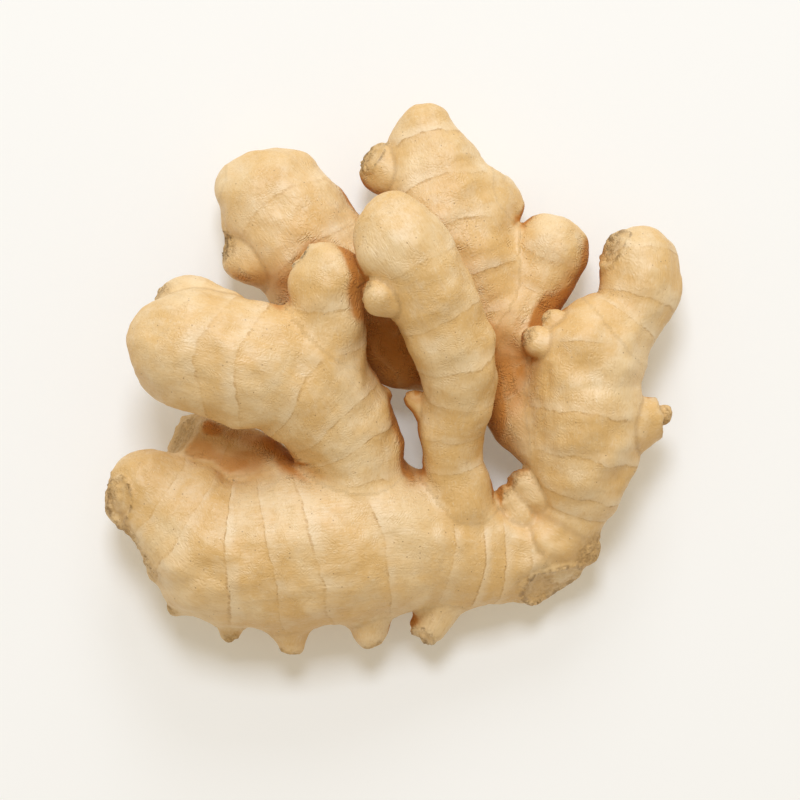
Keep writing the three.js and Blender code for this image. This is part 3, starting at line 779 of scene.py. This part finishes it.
on_cut = np.zeros(len(points))
for row, shoot in enumerate(SHOOTS.values()):
    if shoot.get("cut"):
        mine = owner == row
        on_cut[mine] = cut_share(shoot, points[mine])
relief += CUT_ROUGH * on_cut * layered(points, CUT_ROUGH_SIZE, seed=31)
print("points on cut ends:", int((on_cut > 0.5).sum()))

# %% Creases round buds
CREASE_DEPTH, CREASE_HALF = 0.3, 0.7
NARROW_MELT = 3.5

narrow = np.array([shoot.get("melt", math.inf) <= NARROW_MELT for shoot in SHOOTS.values()])
crease = np.exp(-(apart / CREASE_HALF) ** 2) * (narrow[owner] | narrow[other])
relief -= CREASE_DEPTH * crease
print("points in creases:", int((crease > 0.5).sum()))

# %% [markdown]
# ## Scars
# Where a shoot, a bud or a root was broken off, the root heals with an oval scar: a raised rim with a moat
# round it, a sunken corky disc, and rings in it. Each scar is a middle on the skin, the way it faces, the
# way of its long axis, and its two half-lengths in millimetres.

# %% Scars
SCARS = {
    "right_end": ((40.2, -52.6, 13.7), (0.55, -0.55, 0.63), (0.83, 0.47, -0.3), 8.2, 6.2),
    "stub_end": ((7.6, -67.2, 12.3), (-0.2, -0.6, 0.78), (1, 0, 0), 3.3, 3.0),
    "bump_side": ((-25.1, 33.2, 38.0), (-0.6, 0.6, 0.53), (0.7, 0.7, 0), 3.4, 2.6),
    "lobe_side": ((-43.4, 35.2, 15.5), (-0.9, 0.1, 0.42), (0, 1, 0), 3.6, 2.2),
    "knob_side": ((56.6, 34.9, 23.0), (-0.5, 0.6, 0.62), (0.77, 0.64, 0), 5.4, 4.0),
    "finger_side": ((-5.8, 58.8, 16.0), (-0.55, 0.45, 0.7), (0.63, 0.77, 0), 4.2, 3.4),
    "left_crescent": ((-70.0, -31.5, 24.0), (-0.6, 0.1, 0.79), (0.3, 0.95, 0), 6.0, 4.2),
}
SCAR_RIM, SCAR_SUNK, SCAR_RING, SCAR_MOAT = 0.55, 0.45, 0.2, 0.3
SCAR_REACH, SCAR_FACING = 6.0, 0.1
RIM_HALF, MOAT_PLACE, MOAT_HALF = 0.13, 1.24, 0.1
DISC_FROM, DISC_TO = 0.82, 1.0
SCAR_WOBBLE, WOBBLE_SIZE = 0.09, 3.2
RING_IN_SCAR = 1.9

scar_rim = np.zeros(len(points))
scar_disc = np.zeros(len(points))
wobble = SCAR_WOBBLE * layered(points, WOBBLE_SIZE, seed=71)
for middle, facing, long_way, long_half, short_half in SCARS.values():
    facing = np.array(facing) / np.linalg.norm(facing)
    short_way = np.cross(facing, long_way)
    short_way /= np.linalg.norm(short_way)
    off = points - middle
    a = off @ np.cross(short_way, facing) / long_half
    b = off @ short_way / short_half
    r = np.hypot(a, b) + wobble
    here = (np.abs(off @ facing) < SCAR_REACH) & (normals @ facing > SCAR_FACING)
    rim = here * np.exp(-((r - 1) / RIM_HALF) ** 2)
    disc = here * (1 - step_up(r, DISC_FROM, DISC_TO))
    rings = np.sin(2 * math.pi * r * short_half / RING_IN_SCAR)
    relief += SCAR_RIM * rim - disc * (SCAR_SUNK - SCAR_RING * rings)
    relief -= SCAR_MOAT * here * np.exp(-((r - MOAT_PLACE) / MOAT_HALF) ** 2)
    scar_rim = np.maximum(scar_rim, rim)
    scar_disc = np.maximum(scar_disc, disc)
print("scars:", len(SCARS), "points in them:", int((scar_disc > 0.5).sum()))

# %% [markdown]
# ## Rough ends
# The blunt tips of buds and short shoots, and the places where a bud was rubbed off, are corky and flaking.
# Each is a place on the skin and a radius, in millimetres. The skin there is drawn into close concentric
# folds.

# %% Rough ends
ROUGH_ENDS = [
    ((-73.5, -29.5, 20.0), 6.5),
    ((-68.0, -40.0, 20.0), 6.5),
    ((-60.5, -47.0, 22.0), 6.0),
    ((-8.6, 58.0, 14.0), 5.0),
    ((-43.6, 34.5, 16.0), 4.5),
    ((-7.2, 22.6, 45.0), 3.8),
    ((3.2, -3.0, 27.0), 2.6),
    ((30.8, -25.0, 19.0), 4.0),
    ((28.4, -28.2, 19.0), 3.4),
    ((33.6, 11.4, 27.0), 3.2),
    ((38.2, 18.4, 26.0), 3.6),
    ((55.5, 35.5, 20.0), 5.5),
    ((71.0, -9.6, 19.5), 4.6),
    ((52.0, -44.5, 16.0), 5.5),
    ((-43.0, -68.0, 13.0), 2.6),
    ((-27.4, -71.0, 12.5), 3.4),
    ((-6.0, -69.2, 12.0), 3.0),
    ((7.4, -68.5, 10.5), 3.2),
    ((-58.5, -60.0, 14.5), 3.0),
    ((-61.0, 23.0, 28.0), 3.6),
    ((-56.0, -14.5, 12.0), 8.0),
    ((-0.6, -3.9, 23.6), 2.0),
    ((-46.0, -10.4, 23.6), 2.0),
]
FOLD, FOLD_WIDTH = 0.2, 1.9
CRUST, CRUST_SIZE = 0.3, 1.7
ROUGH_FULL, ROUGH_OUT = 0.55, 1.15
EDGE_WOBBLE, EDGE_WOBBLE_SIZE = 1.1, 3.0
FOLD_WOBBLE, FOLD_WOBBLE_SIZE = 0.8, 3.5

rough = np.zeros(len(points))
folds = np.zeros(len(points))
edge_wobble = EDGE_WOBBLE * layered(points, EDGE_WOBBLE_SIZE, seed=41)
fold_wobble = FOLD_WOBBLE * layered(points, FOLD_WOBBLE_SIZE, seed=43, layers=1)
for place, radius in ROUGH_ENDS:
    far = np.linalg.norm(points - place, axis=1)
    share = 1 - step_up(far + edge_wobble, ROUGH_FULL * radius, ROUGH_OUT * radius)
    fold = np.sin(2 * math.pi * (far + fold_wobble) / FOLD_WIDTH)
    folds = np.where(share > rough, fold, folds)
    rough = np.maximum(rough, share)
relief += rough * (FOLD * folds + CRUST * layered(points, CRUST_SIZE, seed=47))
print("points on rough ends:", int((rough > 0.5).sum()))

# %% [markdown]
# ## Dimples
# A few single hollows sit where the photograph shows one: each is a place, a radius and a depth in
# millimetres.

# %% Dimples
DIMPLES = [
    ((-29.5, 44.9, 25.0), 3.2, 0.9),
    ((-31.5, 12.0, 47.0), 4.0, 0.5),
    ((52.0, -2.0, 35.0), 2.4, 0.4),
    ((-44.6, 44.8, 16.0), 3.4, 1.4),
    ((-43.4, -67.6, 14.4), 1.0, 0.7),
]

for place, radius, depth in DIMPLES:
    relief -= depth * np.exp(-(np.linalg.norm(points - place, axis=1) / radius) ** 2)
print("dimples:", len(DIMPLES))

# %% [markdown]
# ## Moving the points
# The relief fades out where the root rests, so that the flats stay flat, and the points never leave the box
# of the solid. The mesh then takes along every measure that the colours need, as named values of its
# points.

# %% Move
FADE_FROM, FADE_TO = 0.2, 2.0
INSIDE_BOX = 0.01
LIES_BELOW = 0.12

relief *= step_up(points[:, 2], FADE_FROM, FADE_TO)
points = points + relief[:, None] * normals
box_low, box_high = np.array(CAD_BOX) / MM
points = np.clip(points, box_low + INSIDE_BOX, box_high - INSIDE_BOX)
points[:, 2] = np.where(points[:, 2] < LIES_BELOW, 0.0, points[:, 2])
print("points on the floor:", int((points[:, 2] <= 0).sum()))

# %% Mesh
def make_mesh(name, points, faces):
    """A mesh object from points in millimetres and four-sided faces."""
    mesh = bpy.data.meshes.new(name)
    mesh.vertices.add(len(points))
    mesh.vertices.foreach_set("co", (points * MM).astype(np.float32).ravel())
    mesh.loops.add(faces.size)
    mesh.loops.foreach_set("vertex_index", faces.ravel().astype(np.int32))
    mesh.polygons.add(len(faces))
    mesh.polygons.foreach_set("loop_start", np.arange(0, faces.size, 4, dtype=np.int32))
    mesh.polygons.foreach_set("loop_total", np.full(len(faces), 4, np.int32))
    mesh.polygons.foreach_set("use_smooth", np.ones(len(faces), bool))
    mesh.update()
    mesh.validate()
    thing = bpy.data.objects.new(name, mesh)
    bpy.context.scene.collection.objects.link(thing)
    return thing


def add_values(thing, **values):
    """Named values on the points of a mesh: one number each, or three."""
    for name, value in values.items():
        value = np.asarray(value, np.float32)
        kind, field = ("FLOAT_VECTOR", "vector") if value.ndim == 2 else ("FLOAT", "value")
        thing.data.attributes.new(name, kind, "POINT").data.foreach_set(field, value.ravel())


SEEN_GAIN, SEEN_TORN, SEEN_WEAK = 1.7, 0.4, 0.5
ring_seen = own * np.minimum(1, SEEN_GAIN * ledge_share)
ring_seen *= SEEN_TORN + (1 - SEEN_TORN) * broken
ring_seen *= SEEN_WEAK + (1 - SEEN_WEAK) * ring_strength
ginger = make_mesh("ginger_hand", points, quads)
add_values(
    ginger,
    grain=grain,
    grain_share=own,
    ring_phase=phase + RINGS_APART * owner,
    ring_spacing=spacing,
    ring_share=ring_seen,
    near_hollow=near_hollow,
    wide_hollow=wide_hollow,
    enclosed=enclosed,
    cut_end=on_cut,
    rough_end=rough,
    crease=crease,
    scar_rim=scar_rim,
    scar_disc=scar_disc,
)
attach(ginger, "root")
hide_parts("ginger_root")
print("triangles:", 2 * len(quads))

# %% [markdown]
# ## Tools for shader networks
# Effects that several finishes share are node groups with named sockets. A small helper adds one node,
# joins its inputs, and gives back the output that is wanted, so that each group reads from top to bottom.

# %% Node helpers
VALUE, VECTOR = "NodeSocketFloat", "NodeSocketVector"


def join(tree, made, inputs):
    """Gives each input of a node its socket or its plain value."""
    for key, value in inputs.items():
        if isinstance(value, bpy.types.NodeSocket):
            tree.links.new(value, made.inputs[key])
        else:
            made.inputs[key].default_value = value


def node(tree, kind, inputs, out=0, **settings):
    """Adds a node and gives back the output that is wanted."""
    made = tree.nodes.new(kind)
    for key, value in settings.items():
        setattr(made, key, value)
    join(tree, made, inputs)
    return made.outputs[out]


def maths(tree, operation, a, b=0.0):
    """One operation on two values."""
    return node(tree, "ShaderNodeMath", {0: a, 1: b}, operation=operation)


def times(tree, a, b):
    """The product of two values."""
    return maths(tree, "MULTIPLY", a, b)


def plus(tree, a, b):
    """The sum of two values."""
    return maths(tree, "ADD", a, b)


def less(tree, a, b):
    """The first value less the second."""
    return maths(tree, "SUBTRACT", a, b)


def between(tree, value, low, high):
    """0 below low, 1 above high, smooth between. With low over high it runs the other way."""
    inputs = {"Value": value, "From Min": low, "From Max": high}
    return node(tree, "ShaderNodeMapRange", inputs, interpolation_type="SMOOTHSTEP")


def mix(tree, factor, a, b):
    """A colour between two others."""
    inputs = {"Factor": factor, 6: a, 7: b}
    return node(tree, "ShaderNodeMix", inputs, out=2, data_type="RGBA")


def stored(tree, name, out="Fac"):
    """A named value of the mesh."""
    return node(tree, "ShaderNodeAttribute", {}, out=out, attribute_name=name)


def noise(tree, place, scale, detail=3.0, roughness=0.55):
    """Cloudy values round 0.5."""
    inputs = {"Vector": place, "Scale": scale, "Detail": detail, "Roughness": roughness}
    return node(tree, "ShaderNodeTexNoise", inputs)


def stretched(tree, place, scale):
    """A place with each of its parts scaled by its own amount."""
    return node(tree, "ShaderNodeVectorMath", {0: place, 1: scale}, operation="MULTIPLY")


def new_group(name, inputs, outputs):
    """An empty group with named sockets, and its two ends."""
    tree = bpy.data.node_groups.new(name, "ShaderNodeTree")
    for socket, kind in inputs.items():
        tree.interface.new_socket(socket, in_out="INPUT", socket_type=kind)
    for socket, kind in outputs.items():
        tree.interface.new_socket(socket, in_out="OUTPUT", socket_type=kind)
    return tree, tree.nodes.new("NodeGroupInput").outputs, tree.nodes.new("NodeGroupOutput").inputs


def use_group(tree, group, inputs):
    """A group as a node. Gives back all its outputs."""
    made = tree.nodes.new("ShaderNodeGroup")
    made.node_tree = group
    join(tree, made, inputs)
    return made.outputs


print("node helpers ready, for sockets of the kinds", VALUE, "and", VECTOR)

# %% [markdown]
# ## Fibres
# Under the thin skin run fibres, which show as fine streaks along each shoot. The noise is read in the
# shoot's own measures and pulled out along it.

# %% Fibres group
FIBRE_KINDS = {"Fine": (1.9, 0.1), "Broad": (0.55, 0.14)}


def fibres_group():
    """Noise round 0.5, finer across the shoot than along it, by its scale and how much it is pulled out."""
    inputs, outputs = {"Grain": VECTOR, "Share": VALUE}, {"Fine": VALUE, "Broad": VALUE}
    tree, given, result = new_group("fibres", inputs, outputs)
    for socket, (scale, pull) in FIBRE_KINDS.items():
        streaks = noise(tree, stretched(tree, given["Grain"], (1, 1, pull)), scale)
        swing = times(tree, less(tree, streaks, 0.5), given["Share"])
        tree.links.new(plus(tree, swing, 0.5), result[socket])
    return tree


FIBRES = fibres_group()
print("group:", FIBRES.name)

# %% [markdown]
# ## Cross wrinkles
# Across the fibres, and most of all in the shade of the forks, the drying skin is gathered into fine
# wrinkles that meet each other at a slant. They are bands in the along measure, bent by noise, from two
# slants.

# %% Wrinkles group
WRINKLE_BANDS = 1.05
BEND, BEND_SCALE = 5.5, 0.35
SLANT_GATES = {1.0: 0.28, -1.0: 0.33}
GATE_EDGES = (0.42, 0.6)


def wrinkles_group():
    """The sine of the along measure, slanted one way and the other, each let through in its own patches."""
    inputs = {"Grain": VECTOR, "Slant": VALUE, "Share": VALUE}
    tree, given, result = new_group("cross_wrinkles", inputs, {"Height": VALUE})
    along = node(tree, "ShaderNodeSeparateXYZ", {"Vector": given["Grain"]}, out="Z")
    side = along.node.outputs["X"]
    bend = times(tree, noise(tree, given["Grain"], BEND_SCALE), BEND)
    heights = []
    for sign, gate_scale in SLANT_GATES.items():
        slanted = times(tree, times(tree, side, given["Slant"]), sign)
        run = plus(tree, plus(tree, along, slanted), bend)
        wave = maths(tree, "SINE", times(tree, run, WRINKLE_BANDS * 2 * math.pi))
        gate = between(tree, noise(tree, given["Grain"], gate_scale, detail=2.0), *GATE_EDGES)
        heights.append(times(tree, wave, gate))
    tree.links.new(times(tree, plus(tree, *heights), given["Share"]), result["Height"])
    return tree


WRINKLES = wrinkles_group()
print("group:", WRINKLES.name)

# %% [markdown]
# ## Ring lines
# Each ring carries the torn rim of its sheath: a thin brown line with gaps. Its tip side, where the skin
# steps up, is painted paler as a painted highlight, and a band under the step is painted darker as painted
# shade. A random tone for each stretch between rings makes one paler than the next.

# %% Ring lines group
LINE_EDGES = (0.36, 0.084)
RING_WANDER, RING_SCALE = 0.7, 0.9
TEAR_PULL, TEAR_EDGES = (1, 1, 0.3), (0.38, 0.6)
# The two bands are painted light: a highlight on the raised tip side of each ring, and a shade under the
# step.
BANDS = {"Step_And_Painted_Highlight": (0.0, 0.4, 0.6, 3.5), "Painted_Shade_Under": (-4.0, -0.2, -0.1, 0.25)}


def rings_group():
    """The line, the painted highlight on the tip side and the painted shade under the step, all by the
    millimetres from the nearest ring, and Tone by the whole rings passed.
    """
    inputs = {"Phase": VALUE, "Spacing": VALUE, "Share": VALUE, "Whole": VALUE, "Grain": VECTOR}
    outputs = {"Line": VALUE, "Step_And_Painted_Highlight": VALUE, "Painted_Shade_Under": VALUE, "Tone": VALUE}
    tree, given, result = new_group("ring_lines", inputs, outputs)
    wander = times(tree, less(tree, noise(tree, given["Grain"], RING_SCALE, roughness=0.6), 0.5), RING_WANDER)
    phase_here = plus(tree, given["Phase"], maths(tree, "DIVIDE", wander, given["Spacing"]))
    far = times(tree, less(tree, phase_here, maths(tree, "ROUND", phase_here)), given["Spacing"])
    torn_at = stretched(tree, given["Grain"], TEAR_PULL)
    tears = noise(tree, torn_at, RING_SCALE, detail=4.0, roughness=0.7)
    line = between(tree, maths(tree, "ABSOLUTE", far), *LINE_EDGES)
    line = times(tree, line, between(tree, tears, *TEAR_EDGES))
    tree.links.new(times(tree, line, given["Share"]), result["Line"])
    for socket, (starts, full, fades, ends) in BANDS.items():
        band = times(tree, between(tree, far, starts, full), between(tree, far, ends, fades))
        tree.links.new(times(tree, band, given["Share"]), result[socket])
    passed = maths(tree, "FLOOR", phase_here)
    tone = node(tree, "ShaderNodeTexWhiteNoise", {"W": passed}, noise_dimensions="1D")
    tree.links.new(times(tree, tone, given["Whole"]), result["Tone"])
    return tree


RINGS = rings_group()
print("group:", RINGS.name)

# %% [markdown]
# ## Specks
# Pores and small scars dot the skin, thinly and at random. Cells of a cellular pattern are picked by the
# noise of their own place, and only the middle of a picked cell is dark.

# %% Specks group
SPOT_EDGES = (0.24, 0.1)


def specks_group():
    """Dark where a cell's own noise is under the share and its middle is near."""
    inputs = {"Place": VECTOR, "Scale": VALUE, "Share": VALUE}
    tree, given, result = new_group("specks", inputs, {"Speck": VALUE})
    cell = {"Vector": given["Place"], "Scale": given["Scale"]}
    far = node(tree, "ShaderNodeTexVoronoi", cell, out="Distance")
    pick = node(tree, "ShaderNodeSeparateXYZ", {"Vector": far.node.outputs["Color"]}, out="X")
    picked = maths(tree, "LESS_THAN", pick, given["Share"])
    tree.links.new(times(tree, between(tree, far, *SPOT_EDGES), picked), result["Speck"])
    return tree


SPECKS = specks_group()
print("group:", SPECKS.name)

# %% [markdown]
# ## What the skin shows where
# A finish is easiest to read as a list of masks. Some are stored in the mesh, some come from the groups,
# and some are noises, each given by its scale, its detail and its roughness. A mask is nought where it
# shows nothing and one where it shows fully, and a noise lies round one half. The edges are the two values
# between which a mask is cut sharp.

# %% Skin masks
SLANT, SPECK_SCALE, SPECK_SHARE = 0.55, 0.9, 0.07
GATHERED, GATHERED_MORE, GATHERED_EDGES = 0.022, 0.06, (0.1, 0.5)
STORED = (
    "near_hollow", "wide_hollow", "enclosed", "rough_end",
    "cut_end", "crease", "scar_rim", "scar_disc",
)
CLOUDY = {
    "patches": (0.055, 4.0, 0.6),
    "clouds": (0.16, 3.0, 0.6),
    "crumbs": (0.9, 4.0, 0.7),
    "flecks": (0.45, 3.0, 0.55),
}
DUST, DUST_PULL = (1.9, 3.0, 0.75), (1, 1, 0.45)
EDGES = {
    "crumbs": (0.42, 0.72),
    "flecks": (0.42, 0.6),
    "scar_rim": (0.25, 0.9),
    "wide_hollow": (0.4, 0.9),
    "enclosed": (0.55, 0.95),
}


def skin_masks(tree):
    """All masks of the skin, by name."""
    at = node(tree, "ShaderNodeTexCoord", {}, out="Object")
    place = node(tree, "ShaderNodeVectorMath", {0: at, "Scale": 1 / MM}, operation="SCALE")
    grain_at, share = stored(tree, "grain", "Vector"), stored(tree, "grain_share")
    seen = {name: stored(tree, name) for name in STORED}
    ring_inputs = {"Share": stored(tree, "ring_share"), "Whole": share, "Grain": grain_at}
    ring_inputs |= {"Phase": stored(tree, "ring_phase"), "Spacing": stored(tree, "ring_spacing")}
    for group, inputs in (
        (FIBRES, {"Grain": grain_at, "Share": share}),
        (WRINKLES, {"Grain": grain_at, "Slant": SLANT, "Share": share}),
        (RINGS, ring_inputs),
        (SPECKS, {"Place": place, "Scale": SPECK_SCALE, "Share": SPECK_SHARE}),
    ):
        seen |= {socket.name: socket for socket in use_group(tree, group, inputs)}
    seen |= {name: noise(tree, place, *settings) for name, settings in CLOUDY.items()}
    seen["dust"] = noise(tree, stretched(tree, grain_at, DUST_PULL), *DUST)
    sharp = {name: between(tree, seen[name], *edges) for name, edges in EDGES.items()}
    seen["crusty"] = times(tree, seen["rough_end"], sharp["crumbs"])
    seen["disc_flecks"] = times(tree, seen["scar_disc"], sharp["flecks"])
    seen["scar_line"] = times(tree, sharp["scar_rim"], sharp["flecks"])
    # The most shut-in forks: this mask carries the painted deep shade of the skin colour and a rougher
    # finish.
    seen["shut_in"] = maths(tree, "MAXIMUM", sharp["wide_hollow"], sharp["enclosed"])
    gathered = times(tree, between(tree, seen["wide_hollow"], *GATHERED_EDGES), GATHERED_MORE)
    seen["gathered"] = times(tree, seen["Height"], plus(tree, gathered, GATHERED))
    return seen


def sum_of(tree, seen, start, terms):
    """The starting value plus each mask, between its two edges if it has any, times its weight."""
    total = start
    for name, edges, weight in terms:
        mask = between(tree, seen[name], *edges) if edges else seen[name]
        total = plus(tree, times(tree, mask, weight), total)
    return total


print("masks stored in the mesh:", len(STORED))

# %% [markdown]
# ## Ginger skin
# The papery skin is pale buff where it is thick and dry, warmer and more golden where it is thin, and brown
# along the rings and on rough ends. Shade is painted into it as well: tan painted shade in the creases round
# the buds, orange and deep orange-brown painted shade in the hollows and forks, and a painted highlight and
# painted shade at each ring step. It has a soft sheen that breaks up in the wrinkles. Colour, roughness and
# height are each a list of masks: the two edges that a mask comes in between, if it has any, how much it
# counts, and for a colour the tint that it brings. Heights are in millimetres.

# %% Skin colours
BUFF = (0.82, 0.61, 0.325, 1)
GOLDEN = (0.74, 0.47, 0.17, 1)
PALE = (0.90, 0.76, 0.53, 1)
TAN = (0.50, 0.285, 0.09, 1)
BROWN = (0.22, 0.10, 0.03, 1)
ORANGE_PAINTED_SHADE = (0.66, 0.39, 0.12, 1)
CORK = (0.64, 0.41, 0.16, 1)
DEEP_PAINTED_SHADE = (0.52, 0.19, 0.012, 1)
BUFF_PATCHES = (0.38, 0.66)
TINTS = [
    ("clouds", (0.45, 0.75), 0.35, PALE),
    ("Tone", None, 0.13, GOLDEN),
    ("dust", (0.54, 0.74), 0.4, PALE),
    ("dust", (0.48, 0.3), 0.28, TAN),
    ("Fine", (0.52, 0.8), 0.2, TAN),
    ("Broad", (0.52, 0.8), 0.14, PALE),
    # Painted light at each ring: a pale painted highlight on the raised tip side, and a golden painted shade
    # band under the step.
    ("Step_And_Painted_Highlight", None, 0.5, PALE),
    ("Painted_Shade_Under", None, 0.4, GOLDEN),
    ("Line", None, 0.85, TAN),
    ("Speck", None, 0.6, BROWN),
    ("rough_end", None, 0.35, CORK),
    ("crusty", None, 0.85, TAN),
    ("cut_end", None, 0.3, CORK),
    ("disc_flecks", None, 0.5, CORK),
    ("scar_line", None, 0.5, BROWN),
    # Painted shade: the creases round the buds are darkened to tan.
    ("crease", (0.3, 1.0), 0.35, TAN),
    # Painted shade: orange in the hollows and between shoots, and deep orange-brown in the most shut-in
    # forks, where the light hardly reaches.
    ("near_hollow", (0.3, 1.0), 0.45, ORANGE_PAINTED_SHADE),
    ("enclosed", (0.35, 0.8), 0.45, ORANGE_PAINTED_SHADE),
    ("shut_in", None, 0.92, DEEP_PAINTED_SHADE),
]
print("tints in the skin:", len(TINTS))

# %% Skin roughness and height
PLAIN_ROUGHNESS = 0.46
ROUGHER = [("Fine", (0.3, 0.7), 0.12), ("rough_end", None, 0.2), ("shut_in", None, 0.35)]
SKIN_IOR, SKIN_SPECULAR = 1.6, 0.65
HEIGHTS = [
    ("Fine", None, 0.1),
    ("Broad", None, 0.08),
    ("gathered", None, 1.0),
    ("crumbs", None, 0.12),
    ("dust", None, 0.1),
    ("crusty", None, 0.25),
    ("Step_And_Painted_Highlight", None, 0.06),
    ("Line", None, -0.05),
    ("scar_line", None, -0.2),
]


def ginger_skin():
    """The finish: tint over tint, the two sums, and a bump from the height."""
    material = bpy.data.materials.new("ginger_skin")
    material.use_nodes = True
    tree = material.node_tree
    shader = tree.nodes["Principled BSDF"]
    seen = skin_masks(tree)
    colour = mix(tree, between(tree, seen["patches"], *BUFF_PATCHES), GOLDEN, BUFF)
    for name, edges, most, tint in TINTS:
        colour = mix(tree, sum_of(tree, seen, 0.0, [(name, edges, most)]), colour, tint)
    tree.links.new(colour, shader.inputs["Base Color"])
    roughness = maths(tree, "MINIMUM", sum_of(tree, seen, PLAIN_ROUGHNESS, ROUGHER), 1.0)
    tree.links.new(roughness, shader.inputs["Roughness"])
    shader.inputs["IOR"].default_value = SKIN_IOR
    shader.inputs["Specular IOR Level"].default_value = SKIN_SPECULAR
    height = sum_of(tree, seen, 0.0, HEIGHTS)
    bump = node(tree, "ShaderNodeBump", {"Height": height, "Distance": MM, "Strength": 1.0})
    tree.links.new(bump, shader.inputs["Normal"])
    return material


ginger.data.materials.append(ginger_skin())
print("nodes in the skin:", len(ginger.data.materials[0].node_tree.nodes))

# %% [markdown]
# ## Floor and light
# The photograph was taken on a white table with a large soft lamp beyond the top of the picture. The table
# glows a little, as a light table does, and a warm sky from everywhere fills the shadows. A lower lamp
# gives the slopes that face it their sheen. Both lamps are slightly blue, which makes the lit slopes paler.

# %% Floor
FLOOR_SIDE = 6.0
FLOOR_SETTINGS = {
    "Base Color": (0.80, 0.815, 0.805, 1),
    "Emission Color": (0.965, 0.94, 0.88, 1),
    "Emission Strength": 0.15,
    "Roughness": 0.9,
    "Specular IOR Level": 0.1,
}

bpy.ops.mesh.primitive_plane_add(size=FLOOR_SIDE)
floor = bpy.context.object
floor.name = "floor"
paper = bpy.data.materials.new("floor_paper")
paper.use_nodes = True
join(paper.node_tree, paper.node_tree.nodes["Principled BSDF"], FLOOR_SETTINGS)
floor.data.materials.append(paper)
print("floor side in metres:", FLOOR_SIDE)

# %% Light
SKY = (0.52, 0.44, 0.32, 1)
LAMP_TINT = (0.93, 1.0, 1.15)

world = bpy.data.worlds.new("studio")
world.use_nodes = True
join(world.node_tree, world.node_tree.nodes["Background"], {"Color": SKY, "Strength": 1.0})
bpy.context.scene.world = world


def soft_lamp(name, place, size, power):
    """A square lamp that faces the middle of the floor, in metres and watts."""
    lamp = bpy.data.objects.new(name, bpy.data.lights.new(name, "AREA"))
    lamp.data.size = size
    lamp.data.energy = power
    lamp.data.color = LAMP_TINT
    lamp.location = place
    lamp.rotation_euler = (-Vector(place)).to_track_quat("-Z", "Y").to_euler()
    bpy.context.scene.collection.objects.link(lamp)


soft_lamp("key_lamp", (-0.1, 1.5, 2.6), 0.9, 43.0)
soft_lamp("sheen_lamp", (0.2, 2.2, 1.2), 1.0, 17.0)
bpy.context.scene.view_settings.view_transform = "Standard"
print("lamps:", len(bpy.data.lights), "sky:", SKY)

# %% Update
bpy.context.view_layer.update()
